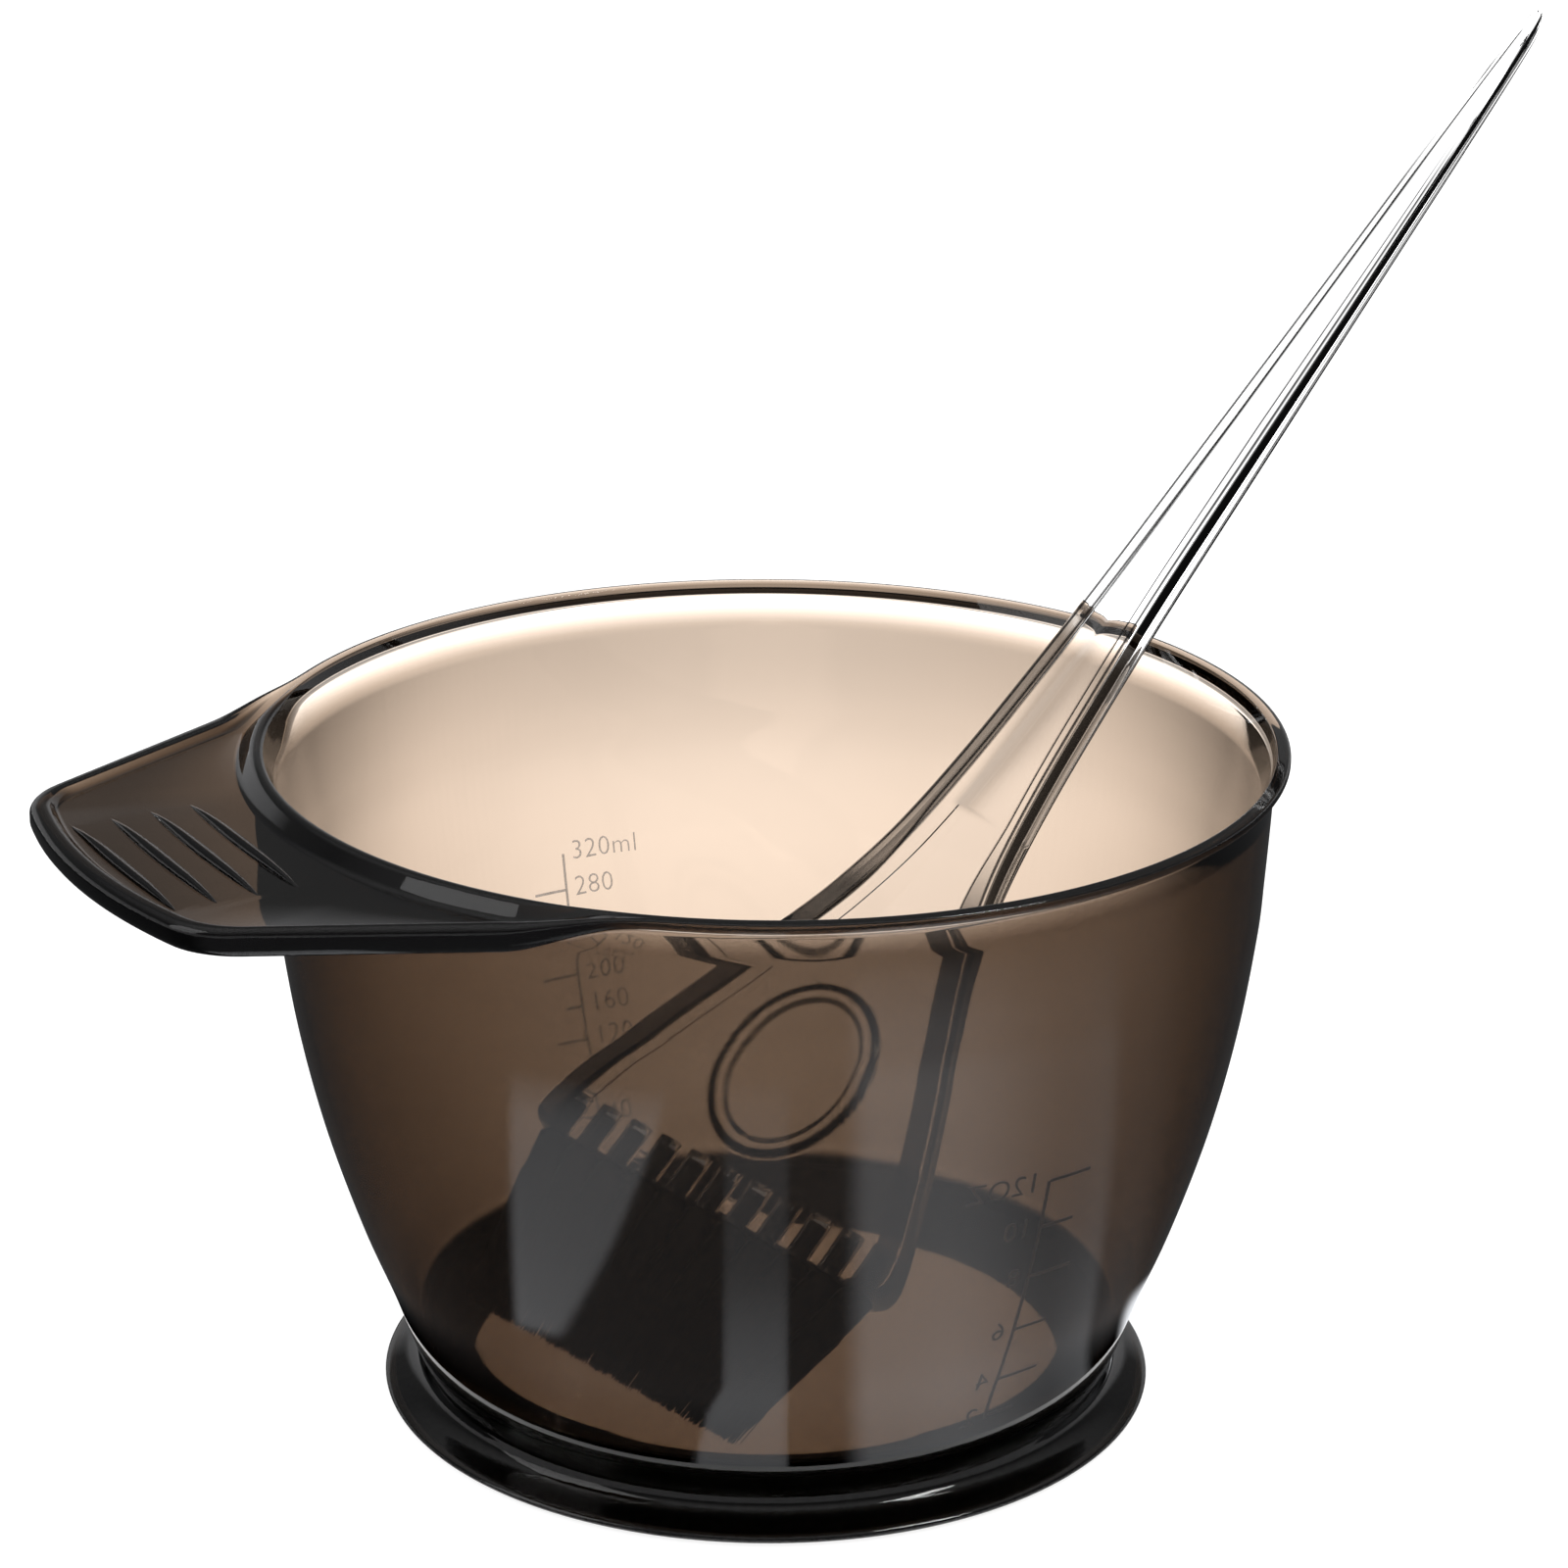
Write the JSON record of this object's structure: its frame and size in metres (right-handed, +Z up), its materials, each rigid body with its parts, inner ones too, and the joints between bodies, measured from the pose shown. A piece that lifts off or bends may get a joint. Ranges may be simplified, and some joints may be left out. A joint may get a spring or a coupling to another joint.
{
  "type": "hair colour bowl with brush",
  "caption": "Smoky translucent mixing bowl with a grip ear and non-slip foot ring, holding a clear-handled tint brush that lifts out.",
  "frame": {"origin": "middle of the whole set's bounding box, on the table; the bowl's own axis is 25.5 mm towards -X", "axes": "+Z up along the bowl's axis; the grip ear points along -X and the brush handle leans out towards +X"},
  "size_m": [0.2324, 0.127, 0.1558],
  "materials": {
    "smoky_plastic": "gloss translucent moulding",
    "non_slip_rubber": "matt",
    "clear_plastic": "polished clear moulding",
    "bristle_fibre": "satin fibre",
    "anchor_steel": "drawn flat wire"
  },
  "bodies": {
    "bowl": {"bowl_shell": "smoky_plastic", "non_slip_ring": "non_slip_rubber"},
    "brush": {"brush_handle": "clear_plastic", "bristle_tuft_01": "bristle_fibre", "tuft_anchor_01": "anchor_steel", "bristle_tuft_02": "bristle_fibre", "tuft_anchor_02": "anchor_steel", "bristle_tuft_03": "bristle_fibre", "tuft_anchor_03": "anchor_steel", "bristle_tuft_04": "bristle_fibre", "tuft_anchor_04": "anchor_steel", "bristle_tuft_05": "bristle_fibre", "tuft_anchor_05": "anchor_steel", "bristle_tuft_06": "bristle_fibre", "tuft_anchor_06": "anchor_steel", "bristle_tuft_07": "bristle_fibre", "tuft_anchor_07": "anchor_steel", "bristle_tuft_08": "bristle_fibre", "tuft_anchor_08": "anchor_steel", "bristle_tuft_09": "bristle_fibre", "tuft_anchor_09": "anchor_steel", "bristle_tuft_10": "bristle_fibre", "tuft_anchor_10": "anchor_steel", "bristle_tuft_11": "bristle_fibre", "tuft_anchor_11": "anchor_steel"}
  },
  "joints": [
    {"name": "brush_lift", "type": "slide", "parent": "bowl", "child": "brush", "axis": [0, 0, 1], "range_m": [0, 0.1]}
  ]
}
